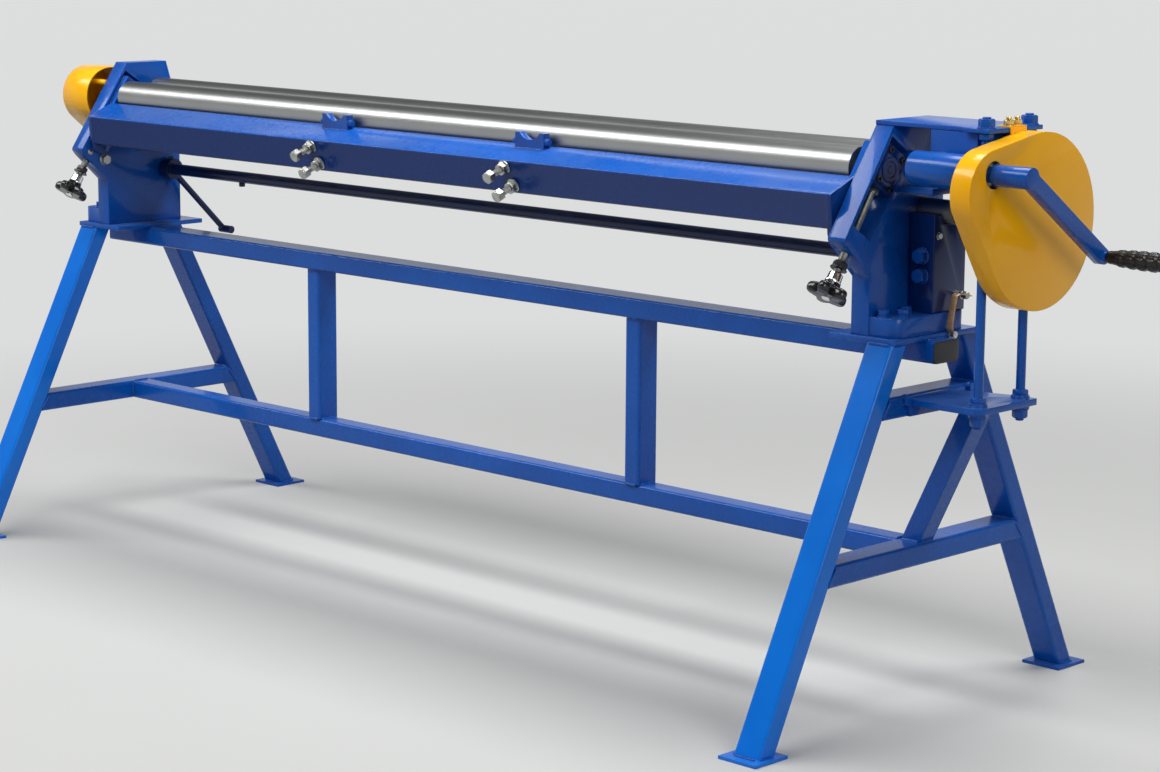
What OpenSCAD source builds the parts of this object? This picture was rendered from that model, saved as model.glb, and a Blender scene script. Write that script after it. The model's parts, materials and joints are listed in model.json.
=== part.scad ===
// Hand-cranked plate rolling machine: three long rolls between two cast end
// frames, on a welded tube stand. X runs along the rolls with the crank at
// +X, -Y is the side of the support beam and star knobs, +Z is up.
// The origin is on the floor, under the centre of the whole machine.

/* [Stand] */
// Distance between the outer faces of the two A-frames
stand_len = 2414; // [2300:1:2500]
// Height of the top of the upper rail
rail_top = 693; // [660:1:720]
// Height of the underside of the lower rail
low_rail_z = 279; // [220:1:320]
// Wide side of the stand's tube
tube_w = 60; // [50:1:60]
// Narrow side of the stand's tube
tube_h = 40; // [36:1:40]
// Wall of the stand's tube
tube_wall = 3; // [2:0.5:4]
// Outside radius of the tube's corners
tube_r = 6; // [5:0.5:8]
// Leg centre from the middle plane at the top
leg_y_top = 101; // [95:1:110]
// Leg centre from the middle plane at the floor
leg_y_floor = 446; // [400:1:460]
// Side of a square foot plate
foot_w = 86; // [80:1:100]
// Thickness of a foot plate
foot_t = 6; // [5:1:10]
// Distance of each post from the middle
post_x = 484; // [450:1:520]
// Thickness of the top plates
plate_t = 10; // [8:1:12]

/* [Rolls] */
// Distance between the inner faces of the end frames
bay = 2210; // [2150:1:2230]
// Diameter of the rolls
roll_d = 75; // [70:1:76]
// Diameter of the roll journals
journal_d = 44; // [40:1:46]
// Side position of the lower pinch roll
low_y = 35; // [30:1:40]
// Height of the lower pinch roll
low_z = 919; // [915:1:925]
// Side position of the top pinch roll
top_y = 20; // [18:1:24]
// Side position of the bending roll with the slide at rest
bend_y = -64; // [-68:1:-62]
// Height of the bending roll with the slide at rest
bend_z = 997; // [990:1:1000]
// Lean of the slide from the vertical
lean = 34; // [33:1:35]

/* [Gears] */
// Gear module
gear_m = 4; // [4:1:4]
// Teeth of the two gears that join the pinch rolls
roll_teeth = 21; // [21:1:21]
// Teeth of the drive gear on the lower roll
drive_teeth = 70; // [70:1:70]
// Teeth of the crank's pinion
pinion_teeth = 15; // [15:1:15]
// Face width of every gear
gear_w = 25; // [20:1:26]
// Play between the flanks of meshing teeth
backlash = 0.8; // [0.5:0.1:1.2]

/* [Support beam] */
// Thickness of the beam's bent plate
beam_t = 8; // [6:1:10]
// Distance of each roll holder from the middle
holder_x = 292; // [250:1:330]

/* [Crank] */
// Direction from the drive gear's axis to the crank's axis
crank_angle = 147.5; // [145:0.5:150]
// Distance between the crank's axis and the grip's axis
crank_r = 269; // [240:1:280]
// Direction of the crank arm below the horizontal, at rest
arm_drop = 34.4; // [30:0.1:40]
// Diameter of the crank's shaft, and width of its arm
arm_d = 28; // [26:1:30]
// Thickness of the crank arm
arm_t = 20; // [12:1:24]
// Length of the grip
grip_len = 150; // [130:1:170]

/* [Hidden] */
$fn = 48;

// shift that puts the origin under the centre of the whole machine
x_out_left = -1260;
x_out_right = 1476 + 30 + grip_len;
x_mid = (x_out_left + x_out_right) / 2;

stand_x = stand_len / 2;
leg_slope = (leg_y_floor - leg_y_top) / rail_top;
plate_top = rail_top + plate_t;
face_in = bay / 2;
plate_w = 40;
face_out = face_in + plate_w;
frame_top = 1075;
flange_t = 35;

roll_r = roll_d / 2;
journal_r = journal_d / 2;
roll_half = face_in - 25;
fit = 0.06;
roll_dist = gear_m * roll_teeth;
top_z = low_z + sqrt(roll_dist * roll_dist - pow(low_y - top_y, 2));
drive_dist = gear_m * (drive_teeth + pinion_teeth) / 2;
crank_y = low_y + drive_dist * cos(crank_angle);
crank_z = low_z + drive_dist * sin(crank_angle);

slot_half = 30;
slot_low = -132;
slot_high = 52;
guide_front = 37;
nose_end = 166;
block_half = 40;
screw_r = 8;

cover_in = 1363;
cover_out = 1405;
cover_wall = 2.5;
rod_x = 1345;
rod_y1 = -53;
rod_y2 = 72;
rod_r = 8.5;
brace_z = 560;
bracket_z = 582;
bracket_t = 12;
cap_t = 8;
cap_top = frame_top + cap_t;

// a flat outline in the Y-Z plane, drawn out along X
module along_x(x0, x1) {
    translate([x0, 0, 0])
        rotate([90, 0, 90])
            linear_extrude(x1 - x0)
                children();
}

module bar_x(x0, x1, r, y, z) {
    translate([x0, y, z])
        rotate([0, 90, 0])
            cylinder(r = r, h = x1 - x0);
}

module box(lo, hi) {
    translate(lo) cube(hi - lo);
}

// rectangle about the origin with round corners
module round_rect(w, h, r) {
    square([w - 2 * r, h], center = true);
    square([w, h - 2 * r], center = true);
    for (x = [-1, 1], y = [-1, 1])
        translate([x * (w / 2 - r), y * (h / 2 - r)]) circle(r = r);
}

// cross-section of the stand's tube
module tube_section(w, h) {
    difference() {
        round_rect(w, h, tube_r);
        round_rect(w - 2 * tube_wall, h - 2 * tube_wall, tube_r - tube_wall);
    }
}

// outline whose points are [y, z, radius], where a radius rounds an outward corner;
// an arc stands proud of its sides by a hair, so that it crosses them cleanly
proud = 0.02;
function toward(p, q, d) = p + d * (q - p) / norm(q - p);
module rounded_outline(points) {
    n = len(points);
    at = [for (p = points) [p[0], p[1]]];
    corners = [for (i = [0:n - 1]) let (
        p = at[i],
        a = at[(i + n - 1) % n],
        b = at[(i + 1) % n],
        r = points[i][2],
        half = acos((a - p) * (b - p) / norm(a - p) / norm(b - p)) / 2,
        inward = toward(p, a, 1) + toward(p, b, 1) - 2 * p)
        [toward(p, a, r / tan(half)), toward(p, b, r / tan(half)),
         p + inward / norm(inward) * r / sin(half), r]];
    polygon([for (c = corners) for (k = c[3] > 0 ? [0, 1] : [0]) c[k]]);
    for (c = corners)
        if (c[3] > 0) translate(c[2]) circle(r = c[3] + proud);
}

// plate bent along a line of points, round on the outside of each bend
module bent_plate(points, t) {
    for (i = [0:len(points) - 2]) {
        run = points[i + 1] - points[i];
        translate(points[i])
            rotate(atan2(run[1], run[0]))
                translate([0, -t / 2]) square([norm(run), t]);
        if (i > 0) translate(points[i]) circle(r = t / 2 + proud);
    }
}

// the slide's own frame: its Y runs up the slide, its X to the rear across it
module on_slide() {
    translate([bend_y, bend_z])
        rotate(-lean)
            children();
}

// ---------------------------------------------------------------- stand
function leg_y(z) = leg_y_floor - leg_slope * z;

module leg(x0, side) {
    turn = atan(leg_slope);
    color("royalblue") {
        intersection() {
            translate([x0 + tube_w / 2, side * leg_y(0), 0])
                rotate([side * turn, 0, 0])
                    translate([0, 0, -40])
                        linear_extrude(rail_top / cos(turn) + 80)
                            tube_section(tube_w, tube_h);
            box([x0 - 5, -leg_y_floor - 80, foot_t],
                [x0 + tube_w + 5, leg_y_floor + 80, rail_top]);
        }
        box([x0 + tube_w / 2 - foot_w / 2, side * leg_y(0) - foot_w / 2, 0],
            [x0 + tube_w / 2 + foot_w / 2, side * leg_y(0) + foot_w / 2, foot_t]);
    }
}

module tube_along_x(x0, x1, w, h, z0) {
    translate([0, 0, z0 + h / 2]) along_x(x0, x1) tube_section(w, h);
}

// tube from one leg of an A-frame to the other, its ends cut to the legs' slope
module cross_tube(x0, z0) {
    half = tube_h / cos(atan(leg_slope)) / 2;
    z1 = z0 - 5;
    z2 = z0 + tube_h + 5;
    color("royalblue")
        intersection() {
            translate([x0 + tube_w / 2, leg_y(z1), z0 + tube_h / 2])
                rotate([90, 0, 0])
                    linear_extrude(2 * leg_y(z1)) tube_section(tube_w, tube_h);
            along_x(x0 - 5, x0 + tube_w + 5)
                polygon([[half - leg_y(z1), z1], [leg_y(z1) - half, z1],
                    [leg_y(z2) - half, z2], [half - leg_y(z2), z2]]);
        }
}

module rail_post(x) {
    z0 = low_rail_z + tube_h;
    color("royalblue")
        translate([x, 0, z0])
            linear_extrude(rail_top - tube_h - z0) tube_section(40, 54);
}

module top_plate(side) {
    color("royalblue")
        box([side > 0 ? face_in - 45 : -stand_x - 5, -122, rail_top],
            [side > 0 ? stand_x + 5 : -face_in + 45, 122, plate_top]);
}

// ---------------------------------------------------------------- brace
module brace_bracket() {
    y0 = rod_y1 - 25;
    y1 = rod_y2 + 20;
    color("royalblue")
        difference() {
            union() {
                box([stand_x, y0, 562], [stand_x + 8, 82, 598]);
                translate([0, 0, bracket_z])
                    linear_extrude(bracket_t)
                        polygon([[stand_x + 7, y0], [rod_x + 8, y0], [rod_x + 22, y0 + 14],
                            [rod_x + 22, y1], [rod_x - 20, y1], [stand_x + 7, 60]]);
                for (y = [rod_y1, rod_y2])
                    translate([rod_x, y, bracket_z - 6]) cylinder(r = 17, h = bracket_t + 10);
            }
            for (y = [rod_y1, rod_y2])
                translate([rod_x, y, bracket_z - 20]) cylinder(r = rod_r + fit, h = 60);
        }
}

module brace_strut() {
    z0 = low_rail_z + tube_h;
    x0 = stand_x - 50;
    x1 = 1285;
    color("royalblue")
        difference() {
            translate([0, 20, 0]) rotate([90, 0, 0])
                linear_extrude(40)
                    polygon([[x0, z0], [x0 + 42, z0], [x1 + 42, bracket_z], [x1, bracket_z]]);
            translate([0, 20 - tube_wall, 0]) rotate([90, 0, 0])
                linear_extrude(40 - 2 * tube_wall)
                    polygon([[x0 + 3.4, z0], [x0 + 38.6, z0],
                        [x1 + 38.6, bracket_z], [x1 + 3.4, bracket_z]]);
        }
}

module tie_rod(y) {
    color("royalblue") {
        translate([rod_x, y, bracket_z - 28])
            cylinder(r = rod_r, h = cap_top + 20 - bracket_z + 28);
        translate([rod_x, y, bracket_z - 22]) cylinder(r = 14, h = 16, $fn = 6);
        translate([rod_x, y, cap_top]) cylinder(r = 15, h = 16, $fn = 6);
        translate([rod_x, y, frame_top - 14]) cylinder(r = 13, h = 14);
    }
}

// ---------------------------------------------------------- end frames
nose_y = bend_y - guide_front * cos(lean) - nose_end * sin(lean);
nose_z = bend_z + guide_front * sin(lean) - nose_end * cos(lean);

module frame_outline() {
    difference() {
        rounded_outline([[-115, plate_top, 0], [93, plate_top, 0], [93, 960, 14],
            [58, frame_top, 0], [nose_y + (frame_top - nose_z) * tan(lean), frame_top, 0],
            [nose_y, nose_z, 8], [-176, 866, 0], [-115, 808, 0]]);
        on_slide()
            translate([-slot_half, slot_low])
                square([2 * slot_half, slot_high - slot_low]);
        translate([top_y, top_z]) circle(r = journal_r + fit);
        translate([low_y, low_z]) circle(r = journal_r + fit);
        translate([50, 824]) circle(r = 13 + fit);
    }
}

// bolting flange at the foot of an end frame, drawn for the crank end
module foot_flange() {
    y0 = -112;
    y1 = 92;
    r = 24;
    translate([0, 0, plate_top])
        linear_extrude(flange_t) {
            translate([face_out - 1, y0 + r]) square([stand_x - face_out + 1, y1 - y0 - 2 * r]);
            translate([face_out - 1, y0]) square([stand_x - face_out + 1 - r, y1 - y0]);
            for (y = [y0 + r, y1 - r]) translate([stand_x - r, y]) circle(r = r);
        }
}

module end_frame(side) {
    x0 = side > 0 ? face_in : -face_out;
    color("royalblue")
        difference() {
            union() {
                along_x(x0, x0 + plate_w) frame_outline();
                mirror([side > 0 ? 0 : 1, 0, 0]) foot_flange();
                // ledge over the lower roll's shaft, at the crank end only
                if (side > 0) box([face_out - 1, -30, 954], [face_out + 70, 60, 966]);
            }
            // tapped bore for the slide's screw, down through the nose
            translate([side * (face_in + plate_w / 2), bend_y, bend_z])
                rotate([-lean, 0, 0])
                    translate([0, 0, -nose_end - 40])
                        cylinder(r = screw_r + fit, h = 100);
        }
}

module cap_right() {
    color("royalblue")
        difference() {
            union() {
                box([face_in, -58, frame_top], [rod_x - 10, 92, cap_top]);
                box([rod_x - 40, rod_y1 - 16, frame_top], [rod_x + 18, rod_y2 + 16, cap_top]);
            }
            for (y = [rod_y1, rod_y2])
                translate([rod_x, y, frame_top - 20]) cylinder(r = rod_r + fit, h = 60);
        }
}

module crank_housing() {
    color("royalblue")
        difference() {
            union() {
                bar_x(1236, cover_in - 3, 31, crank_y, crank_z);
                box([1228, -57, 1031], [rod_x - 15, 60, frame_top]);
                for (x = [1250, 1316])
                    along_x(x, x + 12)
                        polygon([[crank_y, crank_z - 25], [0, 985], [40, 1035], [crank_y, crank_z + 25]]);
            }
            bar_x(1200, cover_in + 10, arm_d / 2 + fit, crank_y, crank_z);
        }
}

// pedestal that carries the lower roll's shaft outside the end frame
module low_bearing_right() {
    color("royalblue")
        difference() {
            box([face_out, -5, plate_top + flange_t], [stand_x - 4, 88, low_z - 3]);
            bar_x(face_out - 10, stand_x + 10, journal_r + fit, low_y, low_z);
        }
}

// -------------------------------------------------------------- covers
// outline round two circles and the straight sides that touch both
module egg(c1, r1, c2, r2) {
    d = c2 - c1;
    len = norm(d);
    a = atan2(d[1], d[0]);
    b = acos((r1 - r2) / len);
    translate(c1) circle(r = r1, $fn = 96);
    translate(c2) circle(r = r2, $fn = 96);
    polygon([c1 + r1 * [cos(a - b), sin(a - b)], c2 + r2 * [cos(a - b), sin(a - b)],
        c2 + r2 * [cos(a + b), sin(a + b)], c1 + r1 * [cos(a + b), sin(a + b)]]);
}

module cover(x_face, x_rim, c1, r1, c2, r2) {
    out = x_face > x_rim ? 1 : -1;
    color("gold")
        difference() {
            along_x(min(x_face, x_rim), max(x_face, x_rim)) egg(c1, r1, c2, r2);
            along_x(min(x_face - out * cover_wall, x_rim - out), max(x_face - out * cover_wall, x_rim - out))
                egg(c1, r1 - cover_wall, c2, r2 - cover_wall);
        }
}

module gear_cover_left() {
    cover(x_out_left, x_out_left + 92, [36, 958], 100, [-58, 995.5], 67);
    color("silver")
        for (p = [[-85, 1029], [110, 905]])
            bar_x(x_out_left + 2, -face_out, 6, p[0], p[1]);
}

module gear_cover_right() {
    difference() {
        cover(cover_out, cover_in, [low_y, low_z], 157, [-101, 979], 75);
        bar_x(cover_in, cover_out + 10, 24, crank_y, crank_z);
    }
    color("gold") {
        box([1338, -10, cap_top], [cover_in + 4, 34, cap_top + 3]);
        box([cover_in, -10, 1068], [cover_in + 4, 34, cap_top + 1]);
    }
}

// --------------------------------------------------------------- gears
function inv_deg(a) = tan(a) * 180 / PI - a;
function base_r(z) = gear_m * z * cos(20) / 2;
// angle from a tooth's middle to its flank, at radius r
function flank(z, r) = 90 / z - backlash / 2 / (gear_m * z / 2) * 90 / PI
    + inv_deg(20) - inv_deg(acos(min(1, base_r(z) / r)));
function tooth(z, a) = let (
        root = gear_m * z / 2 - 1.25 * gear_m,
        tip = gear_m * z / 2 + gear_m,
        start = max(root, base_r(z)),
        rs = [for (i = [0:4]) start + (tip - start) * i / 4])
    concat([[root, a - flank(z, start)]],
        [for (r = rs) [r, a - flank(z, r)]],
        [for (i = [4:-1:0]) [rs[i], a + flank(z, rs[i])]],
        [[root, a + flank(z, start)]]);

// gear outline with one tooth's middle at the angle turn
module gear_outline(z, turn) {
    polygon([for (k = [0:z - 1]) for (p = tooth(z, turn + 360 * k / z))
        [p[0] * cos(p[1]), p[0] * sin(p[1])]]);
}

module gear(x0, y, z, teeth, bore, turn) {
    color("dimgray")
        along_x(x0, x0 + gear_w)
            translate([y, z])
                difference() {
                    gear_outline(teeth, turn);
                    circle(r = bore);
                }
}

roll_dir = atan2(top_z - low_z, top_y - low_y);
left_gear_x = -1200;
drive_x = 1371;

module top_roll_gear() {
    gear(left_gear_x, top_y, top_z, roll_teeth, 20, roll_dir + 180);
}

module low_roll_gear() {
    gear(left_gear_x, low_y, low_z, roll_teeth, 20, roll_dir + 180 / roll_teeth);
}

module drive_gear() {
    gear(drive_x, low_y, low_z, drive_teeth, 20, crank_angle);
}

module crank_pinion() {
    gear(drive_x, crank_y, crank_z, pinion_teeth, arm_d / 2,
        crank_angle + 180 + 180 / pinion_teeth);
}

// --------------------------------------------------------------- rolls
module roll(y, z, x_left, x_right, r_left, r_right) {
    color("silver") {
        bar_x(-roll_half, roll_half, roll_r, y, z);
        bar_x(x_left, -roll_half + 1, r_left, y, z);
        bar_x(roll_half - 1, x_right, r_right, y, z);
    }
}

module top_roll() {
    roll(top_y, top_z, -1170, face_out + 25, journal_r, journal_r);
    color("silver") bar_x(-1210, -1169, 20, top_y, top_z);
}

module low_roll() {
    roll(low_y, low_z, -1170, stand_x + 20, journal_r, journal_r);
    color("silver") {
        bar_x(-1210, -1169, 20, low_y, low_z);
        bar_x(stand_x + 19, drive_x + gear_w + 3, 20, low_y, low_z);
    }
}

module bending_roll() {
    roll(bend_y, bend_z, -face_out, face_out, 18, 18);
}

// ----------------------------------------------------------- support beam
beam_front_y = -168;
beam_front_z = 955.5;
beam_low_y = -161;
beam_low_z = 898.5;

module beam_section() {
    bent_plate([[-106.5, 981.3], [beam_front_y, beam_front_z],
        [beam_low_y, beam_low_z], [-136, 894]], beam_t);
}

// holder that keeps the bending roll from sagging: a saddle between two ears
module roll_holder(x) {
    difference() {
        box([x - 40, -124, 976], [x + 40, -108, 1010]);
        translate([x, -100, 1032]) rotate([90, 0, 0]) cylinder(r = 36, h = 40);
    }
}

module support_beam() {
    color("royalblue") {
        along_x(-face_in + 10, face_in - 10) beam_section();
        for (side = [-1, 1])
            along_x(side > 0 ? face_in - 18 : -face_in + 6, side > 0 ? face_in - 6 : -face_in + 18)
                difference() {
                    union() {
                        rounded_outline([[-104, 986, 0], [-172.5, 957.5, 3], [-164, 880, 8],
                            [-138, 868, 8], [-90, 960, 0]]);
                        on_slide() translate([-28, -block_half]) square([56, 2 * block_half]);
                    }
                    translate([bend_y, bend_z]) circle(r = 18 + 3);
                }
        for (x = [-holder_x, holder_x]) roll_holder(x);
    }
}

module slide_block(side) {
    x0 = side > 0 ? face_in - 6 : -face_out;
    color("dimgray")
        difference() {
            along_x(x0, x0 + plate_w + 6)
                difference() {
                    on_slide()
                        translate([-slot_half + 0.3, -block_half])
                            square([2 * slot_half - 0.6, 2 * block_half]);
                    translate([bend_y, bend_z]) circle(r = 18 + fit);
                }
        }
}

// --------------------------------------------------------- slide screws
module down_screw(side) {
    translate([side * (face_in + plate_w / 2), bend_y, bend_z])
        rotate([-lean, 0, 0])
            children();
}

module screw(side) {
    color("silver")
        down_screw(side)
            translate([0, 0, -242]) cylinder(r = screw_r, h = 242 - block_half - 0.3);
}

module star_knob(side) {
    color([0.06, 0.06, 0.07])
        down_screw(side)
            translate([0, 0, -262])
                difference() {
                    union() {
                        cylinder(r = 15, h = 30);
                        for (k = [0:4])
                            rotate(72 * k) {
                                translate([28, 0, 0]) cylinder(r = 12, h = 20);
                                translate([0, -8, 0]) cube([28, 16, 20]);
                            }
                    }
                    translate([0, 0, 20]) cylinder(r = screw_r, h = 20);
                }
}

// ---------------------------------------------------------- lift shaft
module lift_shaft() {
    color("midnightblue") {
        bar_x(-face_out, face_out - 1, 13, 50, 824);
        bar_x(-1098, -1068, 24, 50, 824);
    }
}

module lift_lever() {
    color([0.1, 0.1, 0.12])
        difference() {
            translate([-1083, 50, 824])
                rotate([-135, 0, 0]) {
                    translate([0, 0, 15]) cylinder(r = 7, h = 198);
                    translate([-10, 0, 218]) rotate([0, 90, 0]) cylinder(r = 9, h = 40);
                }
            bar_x(-1098, -1068, 24, 50, 824);
        }
}

// --------------------------------------------------------------- crank
arm_x = 1476;
hub_r = 19;
grip_y = crank_y + crank_r * cos(arm_drop);
grip_z = crank_z - crank_r * sin(arm_drop);

module crank_arm() {
    color("royalblue") {
        bar_x(1229, cover_out + 5, arm_d / 2, crank_y, crank_z);
        bar_x(cover_out + 4, arm_x + arm_t / 2, hub_r, crank_y, crank_z);
        along_x(arm_x - arm_t / 2, arm_x + arm_t / 2)
            translate([crank_y, crank_z])
                rotate(-arm_drop) {
                    translate([0, -arm_d / 2]) square([crank_r, arm_d]);
                    translate([crank_r, 0]) circle(r = arm_d / 2);
                }
        bar_x(arm_x, arm_x + 27 + grip_len, 9, grip_y, grip_z);
    }
}

// hand grip that swells from the arm outwards
module crank_grip() {
    swell = grip_len * 0.4;
    color([0.06, 0.06, 0.07])
        translate([arm_x + 30, grip_y, grip_z])
            rotate([0, 90, 0])
                difference() {
                    union() {
                        translate([0, 0, -18]) cylinder(r = 13, h = 19);
                        cylinder(r1 = 13, r2 = 17.5, h = swell);
                        translate([0, 0, swell]) cylinder(r = 17.5, h = swell);
                        translate([0, 0, 2 * swell])
                            cylinder(r1 = 17.5, r2 = 13, h = grip_len - 2 * swell);
                    }
                    translate([0, 0, -20]) cylinder(r = 9, h = grip_len + 17);
                }
}

translate([-x_mid, 0, 0]) {
    leg(-stand_x, -1);  // front_leg_left
    leg(-stand_x, 1);  // rear_leg_left
    leg(stand_x - tube_w, -1);  // front_leg_right
    leg(stand_x - tube_w, 1);  // rear_leg_right
    cross_tube(-stand_x, low_rail_z);  // cross_bar_left
    cross_tube(stand_x - tube_w, low_rail_z);  // cross_bar_right
    color("royalblue") tube_along_x(-stand_x - 3, stand_x + 23, 70, tube_h, rail_top - tube_h);  // upper_rail
    color("royalblue")  // lower_rail
            tube_along_x(-stand_x + tube_w, stand_x - tube_w, 50, tube_h, low_rail_z);
    rail_post(-post_x);  // rail_post_left
    rail_post(post_x);  // rail_post_right
    top_plate(-1);  // top_plate_left
    top_plate(1);  // top_plate_right
    cross_tube(stand_x - tube_w, brace_z);  // brace_cross_member
    brace_bracket();
    brace_strut();
    tie_rod(rod_y1);  // tie_rod_front
    tie_rod(rod_y2);  // tie_rod_rear
    end_frame(-1);  // end_frame_left
    end_frame(1);  // end_frame_right
    cap_right();
    crank_housing();
    low_bearing_right();
    gear_cover_left();
    gear_cover_right();
    top_roll();
    low_roll();
    bending_roll();
    top_roll_gear();
    low_roll_gear();
    drive_gear();
    crank_arm();
    crank_grip();
    crank_pinion();
    support_beam();
    slide_block(-1);  // slide_block_left
    slide_block(1);  // slide_block_right
    star_knob(-1);  // star_knob_left
    star_knob(1);  // star_knob_right
    screw(-1);  // screw_left
    screw(1);  // screw_right
    lift_shaft();
    lift_lever();
}
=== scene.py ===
import json
import math

import bmesh
import bpy
import numpy as np
from mathutils import Matrix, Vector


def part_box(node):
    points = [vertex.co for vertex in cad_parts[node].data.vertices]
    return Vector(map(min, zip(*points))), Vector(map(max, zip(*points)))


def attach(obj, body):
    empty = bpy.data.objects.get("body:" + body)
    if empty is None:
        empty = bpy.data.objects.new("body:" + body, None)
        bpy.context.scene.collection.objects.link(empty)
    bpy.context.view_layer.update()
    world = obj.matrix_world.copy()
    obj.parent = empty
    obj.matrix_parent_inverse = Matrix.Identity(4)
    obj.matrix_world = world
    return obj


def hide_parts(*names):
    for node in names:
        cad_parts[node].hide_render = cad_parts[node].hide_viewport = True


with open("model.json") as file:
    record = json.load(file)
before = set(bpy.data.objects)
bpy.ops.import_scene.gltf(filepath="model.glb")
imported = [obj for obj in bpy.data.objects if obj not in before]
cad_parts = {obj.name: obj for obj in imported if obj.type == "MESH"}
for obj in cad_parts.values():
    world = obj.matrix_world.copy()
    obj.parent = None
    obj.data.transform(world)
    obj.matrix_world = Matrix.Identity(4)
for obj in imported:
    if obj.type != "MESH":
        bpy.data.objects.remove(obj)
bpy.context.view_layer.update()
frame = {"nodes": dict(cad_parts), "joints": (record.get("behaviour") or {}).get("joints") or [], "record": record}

# ---------------------------------------------------------------- the stand
# Two A-frames of square tube carry an upper and a lower rail, with two posts
# between them. All of it is mild steel, arc-welded, then sprayed with gloss
# blue enamel, which thins on sharp edges and gathers dust where it faces up.
# The paler tone on the edges is also a painted highlight, and the front legs
# take a brighter copy of the blue as painted light.


class Wire:
    """An output socket of a finish. Arithmetic on it adds Math nodes to that finish."""

    def __init__(self, finish, socket):
        self.finish, self.socket = finish, socket

    def _math(self, operation, first, second=0.0):
        return self.finish.add("ShaderNodeMath", {"operation": operation}, {0: first, 1: second})

    def __add__(self, other):
        return self._math("ADD", self, other)

    def __sub__(self, other):
        return self._math("SUBTRACT", self, other)

    def __mul__(self, other):
        return self._math("MULTIPLY", self, other)

    def __rsub__(self, other):
        return self._math("SUBTRACT", other, self)

    __radd__ = __add__
    __rmul__ = __mul__

    def step(self, low, high):
        """0 below low, 1 above high, and a smooth rise between them."""
        return self.finish.add("ShaderNodeMapRange", {"interpolation_type": "SMOOTHSTEP"},
                               {"Value": self, "From Min": low, "From Max": high})


class Finish:
    """A material made of one Principled surface, or a world of one background, and its feeds."""

    # A colour mix takes its two colours at inputs 6 and 7 and gives the result at output 2.
    FIRST_COLOUR, SECOND_COLOUR, MIXED_COLOUR = 6, 7, 2

    def __init__(self, name, world=False):
        self.material = (bpy.data.worlds if world else bpy.data.materials).new(name)
        self.material.use_nodes = True
        self.tree = self.material.node_tree
        self.surface = self.tree.nodes["Background" if world else "Principled BSDF"]
        self.place = self.add("ShaderNodeTexCoord", {}, {}, "Object")
        self.normal = self.add("ShaderNodeNewGeometry", {}, {}, "Normal")

    def add(self, kind, settings, inputs, output=0):
        """A node of a kind: its settings first, then the values or wires of its sockets."""
        node = self.tree.nodes.new(kind)
        for key, value in settings.items():
            setattr(node, key, value)
        for key, value in inputs.items():
            if isinstance(value, Wire):
                self.tree.links.new(value.socket, node.inputs[key])
            else:
                node.inputs[key].default_value = value
        return Wire(self, node.outputs[output])

    def noise(self, scale, detail=3.0, rough=0.55, stretch=(1, 1, 1)):
        """Fractal noise of about that many blotches to the metre, finer along a stretched axis."""
        spread = self.add("ShaderNodeMapping", {}, {"Vector": self.place, "Scale": stretch})
        return self.add("ShaderNodeTexNoise", {}, {"Vector": spread, "Scale": scale,
                                                   "Detail": detail, "Roughness": rough})

    def mix(self, share, first, second):
        """Colour between first and second, by a share from 0 to 1."""
        return self.add("ShaderNodeMix", {"data_type": "RGBA"},
                        {"Factor": share, self.FIRST_COLOUR: first, self.SECOND_COLOUR: second},
                        self.MIXED_COLOUR)

    def bump(self, height, strength, distance, under=None):
        """A normal bent by a height, on top of the normal under it if one is given."""
        below = {} if under is None else {"Normal": under}
        return self.add("ShaderNodeBump", {},
                        {"Height": height, "Strength": strength, "Distance": distance, **below})

    def axis(self, vector, name):
        """One component of a vector: X, Y or Z."""
        return self.add("ShaderNodeSeparateXYZ", {}, {"Vector": vector}, name)

    def rounded(self, radius):
        """The normal, rounded over at every sharp edge, and a mask that is 1 along those edges."""
        soft = self.add("ShaderNodeBevel", {"samples": 8}, {"Radius": radius})
        along = self.add("ShaderNodeVectorMath", {"operation": "DOT_PRODUCT"},
                         {0: soft, 1: self.normal}, "Value")
        return soft, 1 - along

    def set(self, **sockets):
        """Feeds the surface's sockets, named with _ for a space, with wires or plain values."""
        for key, value in sockets.items():
            socket = self.surface.inputs[key.replace("_", " ")]
            if isinstance(value, Wire):
                self.tree.links.new(value.socket, socket)
            else:
                socket.default_value = value
        return self


EDGE_BAND = 0.0025  # width of the band that is rounded, worn and lightened as a painted highlight along an edge, in metres
DUST = (0.25, 0.31, 0.42, 1)


def enamel(name, deep, pale, edge_highlight_tone, rough, dust, peel, painted_shade=None):
    """Gloss paint: two near tones in wide clouds, orange peel, edges worn to a paler tone that
    is also a painted highlight, hairline scratches, and dust on what faces up. A painted shade tone takes over on
    steep faces."""
    finish = Finish(name)
    cloud, speck = finish.noise(5, 4), finish.noise(60, 5, 0.65)
    soft, edge = finish.rounded(EDGE_BAND)
    upward = finish.axis(finish.normal, "Z")
    colour = finish.mix(cloud.step(0.3, 0.7), deep, pale)
    wear_and_highlight = (edge * 2.2 + speck * 0.9 - 0.6).step(0.25, 0.55)
    scratch = finish.noise(1, 2, 0.5, (40, 900, 500)).step(0.70, 0.74) * cloud.step(0.5, 0.62)
    # Worn edges and scratches take the paler tone, which along the edges is also a painted highlight.
    colour = finish.mix((wear_and_highlight + scratch * 0.3) * 0.30, colour, edge_highlight_tone)
    settled = upward.step(0.6, 0.95) * finish.noise(6, 5, 0.6).step(0.3, 0.8) * dust
    colour = finish.mix(settled, colour, DUST)
    # Painted shade: where given, faces that do not look up go over to a dark tone.
    if painted_shade is not None:
        colour = finish.mix(upward.step(-0.4, 0.7), painted_shade, colour)
    grain = finish.noise(420, 2)
    return finish.set(Base_Color=colour, Roughness=speck * 0.08 + settled * 0.20 + rough,
                      Specular_IOR_Level=0.18, Coat_Weight=0.24, Coat_Roughness=0.06,
                      Normal=finish.bump(grain * 0.3 + speck * 0.5, peel, 0.0004, soft))


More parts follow.
